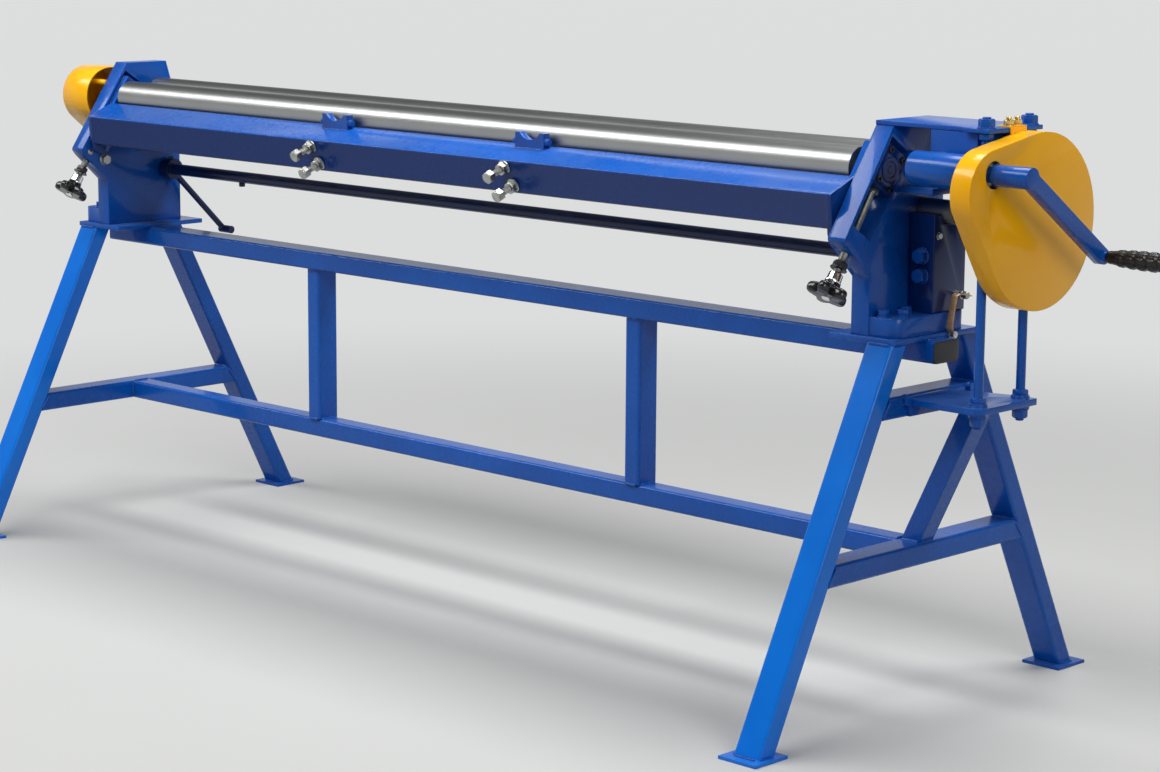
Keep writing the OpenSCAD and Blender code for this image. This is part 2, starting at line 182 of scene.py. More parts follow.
# A paler blue for worn edges, which is also a painted highlight along them.
worn_highlight_blue = (0.03, 0.16, 0.50, 1)
stand_enamel = enamel("stand_enamel", (0.0010, 0.070, 0.36, 1), (0.0015, 0.088, 0.43, 1),
                      worn_highlight_blue, 0.23, 0.22, 0.09)
# The front legs take a brighter copy of the blue: painted light, as they lean back towards the lamps.
leg_painted_light_enamel = enamel("leg_painted_light_enamel", (0.0016, 0.150, 0.66, 1), (0.0020, 0.180, 0.74, 1),
                    worn_highlight_blue, 0.21, 0.22, 0.09)

nodes = frame["nodes"]
body_of = {node: body for body, members in frame["record"]["behaviour"]["bodies"].items()
           for node in members}
SHARP = math.radians(35)  # edges past this angle are broken on the real piece
TOUCHING = 2e-6           # points closer than this, in metres, are one point


def coat(finish, *names):
    """Puts a finish on construction nodes whose shape stays as it is."""
    for name in names:
        nodes[name].data.materials.clear()
        nodes[name].data.materials.append(finish.material)


def added(name, mesh, finish, body):
    """A finished piece in the scene, riding on a body."""
    mesh.polygons.foreach_set("use_smooth", [True] * len(mesh.polygons))
    mesh.materials.append(finish.material)
    made = bpy.data.objects.new(name, mesh)
    bpy.context.scene.collection.objects.link(made)
    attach(made, body)
    return made


def softened(finish, width, *names):
    """Construction nodes with their edges broken: triangles merged and joined into flats,
    then every edge past the sharp angle bevelled to this width."""
    for name in names:
        work = bmesh.new()
        work.from_mesh(nodes[name].data)
        bmesh.ops.remove_doubles(work, verts=work.verts, dist=TOUCHING)
        bmesh.ops.dissolve_limit(work, angle_limit=0.01, verts=work.verts, edges=work.edges)
        mesh = bpy.data.meshes.new(name + "_finished")
        work.to_mesh(mesh)
        work.free()
        made = added(name + "_finished", mesh, finish, body_of[name])
        bevel = made.modifiers.new("broken_edges", "BEVEL")
        bevel.width, bevel.segments = width, 2
        bevel.limit_method, bevel.angle_limit = "ANGLE", SHARP
        bevel.harden_normals = True
        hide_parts(name)


coat(leg_painted_light_enamel, "front_leg_left", "front_leg_right")
coat(stand_enamel, "rear_leg_left", "rear_leg_right", "cross_bar_left", "cross_bar_right",
     "upper_rail", "lower_rail", "rail_post_left", "rail_post_right")
softened(stand_enamel, 0.0012, "top_plate_left", "top_plate_right")


def closed_grid(rows, columns, first):
    """The quads of a grid whose rows close on themselves round the piece."""
    r, c = np.meshgrid(np.arange(rows), np.arange(columns - 1), indexing="ij")
    after = (r + 1) % rows
    quads = np.stack([r * columns + c, after * columns + c,
                      after * columns + c + 1, r * columns + c + 1], -1)
    return quads.reshape(-1, 4) + first


def shaped(name, grids, finish, body, crease=35):
    """One piece from closed grids of points, in metres: doubles merged, faces outward,
    and edges left sharp past the crease, in degrees."""
    points, quads, count = [], [], 0
    for grid in grids:
        rows, columns = grid.shape[:2]
        points.append(grid.reshape(-1, 3))
        quads.append(closed_grid(rows, columns, count))
        count += rows * columns
    mesh = bpy.data.meshes.new(name)
    mesh.from_pydata(np.concatenate(points).tolist(), [], np.concatenate(quads).tolist())
    work = bmesh.new()
    work.from_mesh(mesh)
    bmesh.ops.remove_doubles(work, verts=work.verts, dist=TOUCHING)
    bmesh.ops.recalc_face_normals(work, faces=work.faces)
    work.to_mesh(mesh)
    work.free()
    made = added(name, mesh, finish, body)
    mesh.set_sharp_from_angle(angle=math.radians(crease))
    return made


def across(axis):
    """An axis at unit length, and two unit vectors square to it and to each other."""
    axis = np.asarray(axis, float) / np.linalg.norm(axis)
    side = np.cross(axis, np.eye(3)[np.argmin(abs(axis))])
    side /= np.linalg.norm(side)
    return axis, side, np.cross(axis, side)


def around(angle, side, other):
    """The direction at each angle round an axis, from two unit vectors square to it."""
    return np.cos(angle)[..., None] * side + np.sin(angle)[..., None] * other


# Radius of a usual and of a heavy weld bead, and how far a bead stops short of a corner.
SEAM, HEAVY_SEAM, INSET = 0.0032, 0.0038, 0.006


def bead(start, end, size=SEAM):
    """A weld bead: a bar along the seam whose radius swells every 3 mm into scales, each
    bowed back at its sides, and falls to nothing at both ends."""
    scale_length, bow = 0.003, 0.0008
    start, end = np.array(start, float), np.array(end, float)
    length = np.linalg.norm(end - start)
    axis, side, other = across(end - start)
    t, a = np.meshgrid(np.linspace(0, 1, max(12, int(length / 0.0008))),
                       np.arange(10) * math.tau / 10)
    scale = abs(np.sin(math.pi * (t * length + bow * np.cos(a)) / scale_length))
    swell = size * (0.84 + 0.20 * scale) * np.sqrt(np.clip(1 - (2 * t - 1) ** 16, 0, 1))
    return start + t[..., None] * (end - start) + swell[..., None] * around(a, side, other)


def ring_of_beads(low, high, z):
    """Beads round the foot or head of an upright member, one along each of its four faces."""
    return ([bead((low[0] + INSET, y, z), (high[0] - INSET, y, z)) for y in (low[1], high[1])]
            + [bead((x, low[1] + INSET, z), (x, high[1] - INSET, z)) for x in (low[0], high[0])])


def slice_at(name, height):
    """The lowest and highest x and y of a construction node's corners at a height."""
    flat = np.empty(len(nodes[name].data.vertices) * 3)
    nodes[name].data.vertices.foreach_get("co", flat)
    rows = flat.reshape(-1, 3)
    rows = rows[abs(rows[:, 2] - height) < 0.0006]
    return rows[:, :2].min(0), rows[:, :2].max(0)


seams = []
for bar in ("cross_bar_left", "cross_bar_right", "brace_cross_member"):
    low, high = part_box(bar)
    under, over = slice_at(bar, low.z)[1][1], slice_at(bar, high.z)[1][1]
    for way in (-1, 1):
        for y, z in ((way * over, high.z), (way * under, low.z)):
            seams.append(bead((low.x + INSET, y, z), (high.x - INSET, y, z)))
        for x in (low.x, high.x):
            seams.append(bead((x, way * under, low.z + INSET), (x, way * over, high.z - INSET)))
for post in ("rail_post_left", "rail_post_right"):
    low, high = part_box(post)
    for z in (low.z, high.z):
        seams += ring_of_beads(low, high, z)
low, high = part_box("lower_rail")
for x in (low.x, high.x):
    seams += [bead((x, y, low.z + INSET), (x, y, high.z - INSET)) for y in (low.y, high.y)]
    seams.append(bead((x, low.y + INSET, high.z), (x, high.y - INSET, high.z)))
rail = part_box("upper_rail")
for plate in ("top_plate_left", "top_plate_right"):
    low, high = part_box(plate)
    for x in (low.x, high.x):
        if rail[0].x < x < rail[1].x:
            seams.append(bead((x, rail[0].y + INSET, low.z), (x, rail[1].y - INSET, low.z)))
# A leg's middle stands this far in from its foot plate's outer edge. Cut level, half the leg is
# this deep, and the beads lie at this height, on the foot plate.
FOOT_EDGE, HALF_LEG, FOOT_TOP = 0.043, 0.0225, 0.0062
for end in ("left", "right"):
    tube_low, tube_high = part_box("cross_bar_" + end)
    head_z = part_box("top_plate_" + end)[0].z
    for leg, foot_y in (("front_leg_" + end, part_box("front_leg_" + end)[0].y + FOOT_EDGE),
                        ("rear_leg_" + end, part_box("rear_leg_" + end)[1].y - FOOT_EDGE)):
        seams += ring_of_beads(*slice_at(leg, head_z), head_z)
        seams += ring_of_beads((tube_low.x, foot_y - HALF_LEG),
                               (tube_high.x, foot_y + HALF_LEG), FOOT_TOP)
shaped("stand_welds", seams, stand_enamel, "stand", 60)

# ------------------------------------------------- brace at the crank end
# A bracket bolted to the A-frame, a strut under it and two tie rods up to the
# frame's cap hold the crank's bearing steady. The rods are round bar, threaded
# at both ends, with nuts above and below, all painted over with the stand.
coat(stand_enamel, "brace_cross_member", "brace_strut")
softened(stand_enamel, 0.0012, "brace_bracket")


def hexagon(angle):
    """Reach of a hexagon at an angle, as a share of its reach at a corner."""
    return math.cos(math.pi / 6) / np.cos(angle % (math.pi / 3) - math.pi / 6)


def turned(foot, axis, profile, sides=24, outline=None):
    """A turned shape. Each row of the profile is a height, a radius and a share: the point at
    angle a is foot + height * axis + reach * (cos a, sin a) across the axis, where the reach
    goes from the radius towards radius * outline(a) by the share."""
    axis, side, other = across(axis)
    height, radius, share = np.array([(*row, 0.0)[:3] for row in profile], float).T
    angle = np.arange(sides)[:, None] * math.tau / sides
    reach = np.broadcast_to(radius, (sides, len(radius)))
    if outline is not None:
        reach = radius * (1 + share * (outline(angle) - 1))
    return (np.asarray(foot, float) + height[:, None] * axis
            + reach[..., None] * around(angle, side, other))


def nut(foot, axis, flats, height, washer=True):
    """A hexagon head or nut with chamfered corners, standing on a washer."""
    corner, thin = flats / 2 / math.cos(math.pi / 6), flats * 0.09 if washer else 0.0
    profile = [(thin, 0, 0), (thin, corner * 0.97, 1), (thin + height * 0.06, corner, 1),
               (thin + height * 0.80, corner, 1), (thin + height * 0.93, corner * 0.955, 0.75),
               (thin + height, corner * 0.87, 0.2), (thin + height, 0, 0)]
    grids = [turned(foot, axis, profile, 30, hexagon)]
    if washer:
        rim = flats * 0.66
        grids.append(turned(foot, axis, [(0, 0), (0, rim * 0.97), (thin * 0.2, rim),
                                         (thin * 0.8, rim), (thin, rim * 0.96), (thin, 0)], 30))
    return grids


def thread(foot, axis, length, radius, pitch, sides=16):
    """A screw thread: the radius dips by 0.6 of the pitch and back once each pitch of height,
    and one turn round moves the dip along by one pitch. Both ends are chamfered and closed."""
    height = np.linspace(0, length, int(length / pitch * 5) + 2)
    angle = np.arange(sides)[:, None] * math.tau / sides
    dip = abs(2 * ((height / pitch - angle / math.tau) % 1) - 1)
    reach = radius - 0.6 * pitch * dip
    reach = np.minimum(reach, radius - pitch * 0.7 + np.minimum(height, length - height))
    reach = np.pad(reach, ((0, 0), (1, 1)))
    height = np.pad(height, 1, mode="edge")
    axis, side, other = across(axis)
    return (np.asarray(foot, float) + height[:, None] * axis
            + reach[..., None] * around(angle, side, other))


UP, DOWN, TO_CRANK, FORWARD = (0, 0, 1), (0, 0, -1), (1, 0, 0), (0, -1, 0)
# Radii of a tie rod and of its threads, their pitch and lengths, how far the bracket's underside
# is above the rod's foot, and how thick the cap is.
ROD, THREADED, PITCH, LOWER_THREAD, UPPER_THREAD = 0.0085, 0.0082, 0.002, 0.036, 0.048
BRACKET_UNDER, CAP_THICK = 0.0216, 0.008
cap_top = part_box("cap_right")[1].z
bracket_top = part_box("brace_bracket")[1].z
for rod in ("tie_rod_front", "tie_rod_rear"):
    low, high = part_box(rod)
    x, y, length = (low.x + high.x) / 2, (low.y + high.y) / 2, high.z - low.z
    bar = [(0.034, 0), (0.034, 0.0080), (0.037, ROD), (length - 0.046, ROD),
           (length - 0.043, 0.0078), (length - 0.043, 0)]
    grids = [turned((x, y, low.z), UP, bar, 28),
             thread((x, y, low.z), UP, LOWER_THREAD, THREADED, PITCH),
             thread((x, y, high.z - UPPER_THREAD), UP, UPPER_THREAD, THREADED, PITCH)]
    grids += nut((x, y, cap_top), UP, 0.026, 0.0145)
    grids += nut((x, y, cap_top - CAP_THICK), DOWN, 0.0225, 0.0125, False)
    grids += nut((x, y, low.z + BRACKET_UNDER), DOWN, 0.0245, 0.0145)
    grids += nut((x, y, bracket_top), UP, 0.0245, 0.010)
    made = shaped(rod + "_finished", grids, stand_enamel, "stand")
    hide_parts(rod)

# Two bolts go into the cross member, past the bracket plate's edges and a little below its top.
PAST_EDGE, BELOW_TOP = 0.009, 0.006
plate_low, plate_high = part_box("brace_bracket")
cross_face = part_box("brace_cross_member")[1].x
bracket_bolts = []
for y in (plate_low.y - PAST_EDGE, plate_high.y + PAST_EDGE):
    bracket_bolts += nut((cross_face, y, plate_high.z - BELOW_TOP), TO_CRANK, 0.017, 0.011)
# Both slanted ends of the strut are 42 mm long and are welded all round.
CUT, START, END, HALF_WIDE = 0.042, 0.002, 0.040, 0.016
low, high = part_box("brace_strut")
strut_seams = [bead((low.x + START, y, low.z), (low.x + END, y, low.z), HEAVY_SEAM)
               for y in (low.y, high.y)]
strut_seams += [bead((high.x - END, y, high.z), (high.x - START, y, high.z))
                for y in (low.y, high.y)]
strut_seams += [bead((x, -HALF_WIDE, z), (x, HALF_WIDE, z), HEAVY_SEAM)
                for x, z in ((low.x, low.z), (low.x + CUT, low.z),
                             (high.x, high.z), (high.x - CUT, high.z))]
shaped("brace_bolts", bracket_bolts, stand_enamel, "stand")
shaped("brace_welds", strut_seams, stand_enamel, "stand", 60)

# ----------------------------------------------------- plugs in the rail
# A black plastic plug is pressed into each open end of the upper rail. It is
# injection-moulded, with a thin domed flange that covers the tube.
moulded_black = Finish("moulded_black")
mottle = moulded_black.noise(120, 4, 0.6)
moulded_black.set(Base_Color=moulded_black.mix(mottle, (0.010, 0.010, 0.011, 1),
                                               (0.028, 0.028, 0.03, 1)),
                  Roughness=mottle * 0.2 + 0.38, Normal=moulded_black.bump(mottle, 0.2, 0.0004))


def oblong(half_wide, half_high):
    """Reach of an upright rounded oblong at an angle, against a radius of 1 m."""
    return lambda angle: (abs(np.cos(angle) / half_high) ** 12
                          + abs(np.sin(angle) / half_wide) ** 12) ** (-1 / 12)


low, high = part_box("upper_rail")
flange = [(0.0002, 0, 0), (0.0002, 0.97, 1), (0.0010, 1.0, 1), (0.0026, 1.0, 1),
          (0.0036, 0.965, 1), (0.0042, 0.86, 1), (0.0046, 0.4, 1), (0.0046, 0, 0)]
plugs = [turned((x, 0, (low.z + high.z) / 2), (way, 0, 0), flange, 72, oblong(0.035, 0.020))
         for x, way in ((high.x, 1), (low.x, -1))]
shaped("rail_plugs", plugs, moulded_black, "stand", 50)

# ------------------------------------------------------------ end frames
# Two thick cheeks with a slanted slide in the front edge stand on the stand's
# plates. At the crank end a cap, the crank's bearing housing and a pedestal for
# the lower roll's shaft are joined on. Cast and cut steel under the same blue,
# but the pedestal is drawn in a dark navy: painted shade under the housing.
frame_enamel = enamel("frame_enamel", (0.0010, 0.064, 0.34, 1), (0.0015, 0.084, 0.42, 1),
                      worn_highlight_blue, 0.24, 0.20, 0.14)
# A dark navy that stands in for shade: painted shade on the pedestal, on the slide blocks and on their journal
# caps.
navy_painted_shade = enamel("navy_painted_shade", (0.0010, 0.018, 0.120, 1), (0.0012, 0.026, 0.160, 1),
                     (0.01, 0.05, 0.20, 1), 0.26, 0.15, 0.12)
softened(frame_enamel, 0.0016, "end_frame_left", "end_frame_right", "cap_right",
         "crank_housing")
softened(navy_painted_shade, 0.0016, "low_bearing_right")

# The stand's middle, and on each side three bolts in the flange at the cheek's foot, given as a
# way out from the cheek and a y. Two bolts hold the pedestal's front, at these heights.
FLANGE_BOLTS = ((0.018, -0.096), (0.037, -0.066), (0.018, -0.032))
PEDESTAL_BOLT_IN, PEDESTAL_BOLTS = 0.032, (0.841, 0.805)
middle_x = (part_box("cross_bar_left")[0].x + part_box("cross_bar_right")[1].x) / 2
ped_low, ped_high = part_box("low_bearing_right")
frame_bolts = []
for way in (-1, 1):
    cheek = middle_x + way * (ped_low.x - middle_x)
    for out, y in FLANGE_BOLTS:
        frame_bolts += nut((cheek + way * out, y, ped_low.z), UP, 0.019, 0.011)
for z in PEDESTAL_BOLTS:
    frame_bolts += nut((ped_low.x + PEDESTAL_BOLT_IN, ped_low.y, z), FORWARD, 0.024, 0.014)
shaped("frame_bolts", frame_bolts, frame_enamel, "stand")

# Bright zinc-plated screws and plugs are fitted after painting: a screw and a flush plug in the
# nose of each frame, on the side of the rolls, and a small screw in the pedestal's outer face.
zinc = Finish("zinc_plate")
bloom, grit = zinc.noise(60, 4, 0.6), zinc.noise(500, 3)
zinc.set(Base_Color=zinc.mix(bloom.step(0.3, 0.75), (0.48, 0.49, 0.46, 1), (0.26, 0.27, 0.25, 1)),
         Metallic=1.0, Roughness=bloom * 0.22 + grit * 0.10 + 0.16,
         Normal=zinc.bump(grit, 0.12, 0.0002))

joints = {joint["name"]: joint for joint in frame["joints"]}
slide = np.array(joints["bend_slide"]["axis"], float)
slide /= np.linalg.norm(slide)
square = np.array([0, slide[2], -slide[1]])
pin = joints["bending_roll_spin"]["pos_m"]


def on_slide(x, along, over):
    """A point at x, so far up the slide and rearwards square to it from the bending roll's axis."""
    return np.array([x, pin[1], pin[2]]) + along * slide + over * square


NOSE_SCREW, NOSE_PLUG = (-0.151, 0.029), (-0.156, -0.014)  # up the slide, and rearwards
PEDESTAL_SCREW = (0.006, 0.878)                            # y, z
flush_plug = [(-0.0004, 0), (-0.0004, 0.0068), (0.0005, 0.0068), (0.0009, 0.0062), (0.0009, 0)]
zinc_screws = []
for inner, way in ((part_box("end_frame_left")[1].x, -1), (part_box("end_frame_right")[0].x, 1)):
    inward = (-way, 0, 0)
    zinc_screws += nut(on_slide(inner, *NOSE_SCREW), inward, 0.020, 0.010)
    zinc_screws.append(turned(on_slide(inner, *NOSE_PLUG), inward, flush_plug, 24))
zinc_screws += nut((ped_high.x, *PEDESTAL_SCREW), TO_CRANK, 0.010, 0.005)
shaped("frame_zinc_screws", zinc_screws, zinc, "stand")

# ------------------------------------------------------------ earth strap
# A flat copper strap runs from the pedestal's outer face forward and down to a
# bolt on the edge of the stand's top plate. It is bare, hand-bent and tarnished.
copper = Finish("strap_copper")
tarnish = copper.noise(70, 5, 0.65)
copper.set(Base_Color=copper.mix(tarnish.step(0.3, 0.7), (0.80, 0.50, 0.28, 1),
                                 (0.58, 0.34, 0.18, 1)),
           Metallic=0.35, Roughness=tarnish * 0.3 + 0.30, Normal=copper.bump(tarnish, 0.2, 0.0005))


def strap(path, wide, thick):
    """A flat strip along a path in an upright plane square to x: at each point of the path the
    section is a thin oblong, wide along x and thick along the path's normal, shut at both ends."""
    way = np.gradient(path, axis=0)
    way /= np.linalg.norm(way, axis=1)[:, None]
    outward = np.cross(way, [1, 0, 0])
    angle = np.arange(16)[:, None, None] * math.tau / 16
    reach = (abs(np.cos(angle)) ** 6 + abs(np.sin(angle)) ** 6) ** (-1 / 6)
    section = path + reach * (np.cos(angle) * [wide / 2, 0, 0]
                              + np.sin(angle) * outward * thick / 2)
    shut = np.broadcast_to(path[[0, -1]], (16, 2, 3))
    return np.concatenate([shut[:, :1], section, shut[:, 1:]], 1)


STRAP_WIDE, STRAP_THICK, STRAP_OUT = 0.014, 0.0022, 0.0035
HEAD_BOLT, FOOT_BOLT = (0.081, 0.7645), (0.040, 0.6975)  # y, z, as in the bends of the strap
plate_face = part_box("top_plate_right")[1].x
bends = np.array([[0.086, 0.764], [0.064, 0.768], [0.050, 0.771], [0.043, 0.768], [0.039, 0.757],
                  [0.035, 0.738], [0.031, 0.720], [0.031, 0.709], [0.034, 0.702], [0.040, 0.697]])
along, at_bend = np.linspace(0, 1, 40), np.linspace(0, 1, len(bends))
run = np.c_[np.full(len(along), plate_face + STRAP_OUT), np.interp(along, at_bend, bends[:, 0]),
            np.interp(along, at_bend, bends[:, 1])]
shaped("earth_strap", [strap(run, STRAP_WIDE, STRAP_THICK)], copper, "stand", 40)
strap_bolts = (nut((plate_face, *FOOT_BOLT), TO_CRANK, 0.0125, 0.009)
               + nut((ped_high.x, *HEAD_BOLT), TO_CRANK, 0.0125, 0.012))
shaped("earth_strap_bolts", strap_bolts, zinc, "stand")

# --------------------------------------------------------- gears and covers
# Cut steel gears run in grease. At the crank end a pressed cover hides the
# pinion and the big drive gear, and hangs by a tab on two yellow-zinc bolts;
# a smaller cover at the other end hides the pair that joins the pinch rolls.
grease_steel = Finish("grease_steel")
grease = grease_steel.noise(40, 5, 0.6)
grease_steel.set(Base_Color=grease_steel.mix(grease.step(0.35, 0.65), (0.20, 0.19, 0.17, 1),
                                             (0.035, 0.030, 0.022, 1)),
                 Metallic=0.85, Roughness=grease * 0.35 + 0.15,
                 Normal=grease_steel.bump(grease, 0.3, 0.0010))
coat(grease_steel, "top_roll_gear", "low_roll_gear", "drive_gear", "crank_pinion")

cover_enamel = enamel("cover_enamel", (0.95, 0.43, 0.001, 1), (0.99, 0.49, 0.002, 1),
                      (0.98, 0.60, 0.05, 1), 0.22, 0.06, 0.05)
softened(cover_enamel, 0.0011, "gear_cover_left", "gear_cover_right")

yellow_zinc = Finish("yellow_zinc")
tint = yellow_zinc.noise(90, 4, 0.6)
yellow_zinc.set(Base_Color=yellow_zinc.mix(tint.step(0.3, 0.7), (0.78, 0.60, 0.22, 1),
                                           (0.62, 0.42, 0.20, 1)),
                Metallic=1.0, Roughness=tint * 0.2 + 0.16,
                Normal=yellow_zinc.bump(tint, 0.1, 0.0003))
TAB_OUT, TAB_BOLTS = 0.008, (0.000, 0.024)  # the tab bolts' x past the tie rods', and their y
rod_x = (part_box("tie_rod_front")[0].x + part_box("tie_rod_front")[1].x) / 2
tab_bolts = []
for y in TAB_BOLTS:
    foot = (rod_x + TAB_OUT, y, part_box("gear_cover_right")[1].z)
    tab_bolts += nut(foot, UP, 0.016, 0.008)
    tab_bolts.append(thread(foot, UP, 0.015, 0.0050, 0.0015, 14))
shaped("cover_tab_bolts", tab_bolts, yellow_zinc, "stand")

# ------------------------------------------------------------------ rolls
# Three solid rolls of carbon steel, turned and ground bright, with fine rings
# from the grinding wheel and faint lengthwise rub marks from the sheets. Past
# the frame at the crank end the lower one's shaft turns to a duller olive,
# half-metal tone: a painted sheen that keeps it light in the shade there.
roll_steel = Finish("roll_steel")
rings = roll_steel.noise(1, 3, 0.7, (1500, 4, 4))
rub = roll_steel.noise(1, 4, 0.6, (3, 150, 150))
stain = roll_steel.noise(7, 5, 0.6)
ground = roll_steel.mix(stain * 0.6 + rub * 0.3, (0.42, 0.425, 0.42, 1), (0.30, 0.305, 0.30, 1))
frame_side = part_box("end_frame_right")[1].x
# Painted sheen: past the frame's outer face the steel goes over to an olive, less metallic tone.
journal_painted_sheen = roll_steel.axis(roll_steel.place, "X").step(frame_side - 0.010, frame_side + 0.010)
roll_steel.set(Base_Color=roll_steel.mix(journal_painted_sheen, ground, (0.24, 0.235, 0.17, 1)),
               Metallic=1 - journal_painted_sheen * 0.6, Roughness=rings * 0.10 + rub * 0.10 + journal_painted_sheen * 0.10 + 0.26,
               Normal=roll_steel.bump(rings * 0.6 + rub * 0.4, 0.10, 0.0002))
coat(roll_steel, "top_roll", "low_roll", "bending_roll")

# ---------------------------------------------------------- support beam
# A beam of bent plate runs under the bending roll and moves with it. Two
# saddles welded on its top edge keep the roll from sagging, and each is set by
# two long hexagon screws with lock nuts, zinc-plated, in the beam's front.
# The beam's steep front takes a dark navy: painted shade under its top edge.
beam_enamel = enamel("beam_enamel", (0.0010, 0.084, 0.42, 1), (0.0015, 0.100, 0.50, 1),
                     worn_highlight_blue, 0.23, 0.12, 0.10, painted_shade=(0.0010, 0.018, 0.115, 1))
softened(beam_enamel, 0.0010, "support_beam")
# The saddles stand this far out from the stand's middle and are this long to each side. Their
# screws are given as a way aside from the saddle, y and z, and bolts and seams as y and z. Along
# a screw, from the beam's front, its end is this far in and its nut and head are this far out.
SADDLE_OUT, SADDLE_HALF, SEAM_HALF = 0.292, 0.040, 0.038
SADDLE_SCREWS = ((-0.022, -0.1655, 0.946), (0.0, -0.1615, 0.911))
SADDLE_BOLT, SADDLE_SEAM = (-0.116, 0.992), (-0.1245, 0.9772)
END_IN, NUT_OUT, HEAD_OUT = 0.006, 0.006, 0.043
dip = math.radians(22)  # the screws point this far below level
aim = np.array([0, -math.cos(dip), -math.sin(dip)])
saddle_screws, saddle_bolts, saddle_seams = [], [], []
for side in (-1, 1):
    x = middle_x + side * SADDLE_OUT
    for aside, y, z in SADDLE_SCREWS:
        foot = np.array([x + aside, y, z])
        saddle_screws.append(thread(foot - END_IN * aim, aim, 0.056, 0.0068, 0.0018))
        saddle_screws += nut(foot + NUT_OUT * aim, aim, 0.023, 0.012)
        saddle_screws += nut(foot + HEAD_OUT * aim, aim, 0.022, 0.015, False)
    for way in (1, -1):
        saddle_bolts += nut((x + way * SADDLE_HALF, *SADDLE_BOLT), (way, 0, 0), 0.013, 0.007)
    saddle_seams.append(bead((x - SEAM_HALF, *SADDLE_SEAM), (x + SEAM_HALF, *SADDLE_SEAM)))
shaped("saddle_screws", saddle_screws, zinc, "bend_slide_body")
shaped("saddle_bolts", saddle_bolts, frame_enamel, "bend_slide_body")
shaped("saddle_welds", saddle_seams, frame_enamel, "bend_slide_body", 60)

# ----------------------------------------------- slide blocks and star knobs
# The bending roll's journals turn in steel blocks that slide in the end frames;
# the blocks and the caps on the journals are drawn in dark navy as painted shade
# in the slots. A threaded screw pushes each block, turned by a five-lobed knob
# of glossy black phenolic on a chromed collar, and held by a lock nut.
block_steel = Finish("block_steel")
oil = block_steel.noise(45, 5, 0.6)
block_steel.set(Base_Color=block_steel.mix(oil.step(0.35, 0.65), (0.055, 0.055, 0.06, 1),
                                           (0.018, 0.017, 0.016, 1)),
                Metallic=0.7, Roughness=oil * 0.3 + 0.18,
                Normal=block_steel.bump(oil, 0.25, 0.0006))
softened(navy_painted_shade, 0.0010, "slide_block_left", "slide_block_right")


def socket_screw(foot, axis, radius, height):
    """A round head with a hexagon socket sunk in its top."""
    profile = [(0, 0, 0), (0, radius, 0), (height * 0.88, radius, 0), (height, radius * 0.92, 0),
               (height, radius * 0.58, 1), (height * 0.35, radius * 0.56, 1), (height * 0.3, 0, 0)]
    return turned(foot, axis, profile, 30, hexagon)


cap = [(0.0001, 0), (0.0001, 0.0230), (0.0012, 0.0230), (0.0018, 0.0222), (0.0018, 0.0155),
       (0.0007, 0.0140), (0.0007, 0.0070), (0.0015, 0.0060), (0.0015, 0)]
SCREW_ALONG, SCREW_OVER = 0.030, 0.020  # a block's four screws, from the journal's axis
journal_caps, block_screws = [], []
for outer, way in ((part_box("slide_block_left")[0].x, -1), (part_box("slide_block_right")[1].x, 1)):
    outward = (way, 0, 0)
    journal_caps.append(turned(on_slide(outer, 0, 0), outward, cap, 48))
    for up_slide in (SCREW_ALONG, -SCREW_ALONG):
        for over in (-SCREW_OVER, SCREW_OVER):
            block_screws.append(socket_screw(on_slide(outer, up_slide, over), outward,
                                             0.0058, 0.0045))
shaped("journal_caps", journal_caps, navy_painted_shade, "bend_slide_body")
shaped("block_screws", block_screws, block_steel, "bend_slide_body")

chrome = Finish("collar_chrome")
haze = chrome.noise(140, 3)
chrome.set(Base_Color=chrome.mix(haze, (0.80, 0.80, 0.80, 1), (0.66, 0.66, 0.67, 1)),
           Metallic=1.0, Roughness=haze * 0.12 + 0.04, Normal=chrome.bump(haze, 0.04, 0.0003))

phenolic = Finish("knob_phenolic")
swirl = phenolic.noise(60, 4, 0.6)
handled = phenolic.noise(260, 3)
phenolic.set(Base_Color=phenolic.mix(swirl, (0.006, 0.006, 0.007, 1), (0.018, 0.018, 0.020, 1)),
             Specular_IOR_Level=0.35, Roughness=swirl * 0.12 + handled * 0.08 + 0.10,
             Coat_Weight=0.3, Coat_Roughness=0.04,
             Normal=phenolic.bump(handled, 0.06, 0.0003))


def five_lobes(angle):
    """Reach of a star of five rounded lobes at an angle, as a share of its reach at a tip: 0.53,
    plus 0.47 of a wave that rises and falls five times round, raised to 0.62 to round the tips."""
    wave = 0.5 + 0.5 * np.cos(5 * (angle + math.tau / 4))
    return 0.53 + 0.47 * wave ** 0.62


# Heights of these profiles and places are measured up the slide from the bending roll's axis.
SCREW_FOOT, SCREW_LONG, SCREW_RADIUS = -0.2420, 0.2015, 0.0080
LOCK_NUT, THRUST_NUT = -0.2050, -0.0402
star = [(-0.262, 0, 0), (-0.262, 0.0300, 0.5), (-0.2615, 0.0345, 0.9), (-0.2595, 0.0378, 1),
        (-0.2565, 0.0395, 1), (-0.2520, 0.0400, 1), (-0.2475, 0.0393, 1), (-0.2445, 0.0372, 1),
        (-0.2425, 0.0330, 1), (-0.2418, 0.0290, 0.8), (-0.2412, 0.0215, 0.3),
        (-0.2400, 0.0178, 0), (-0.2375, 0.0163, 0), (-0.2335, 0.0155, 0), (-0.232, 0.0145, 0),
        (-0.232, 0, 0)]
collar = [(-0.232, 0), (-0.232, 0.0150), (-0.2300, 0.0152), (-0.2290, 0.0140),
          (-0.2150, 0.0132), (-0.2135, 0.0120), (-0.2135, 0)]
end_cap = [(-0.2645, 0), (-0.2645, 0.0075), (-0.2635, 0.0085), (-0.2600, 0.0088), (-0.2600, 0)]
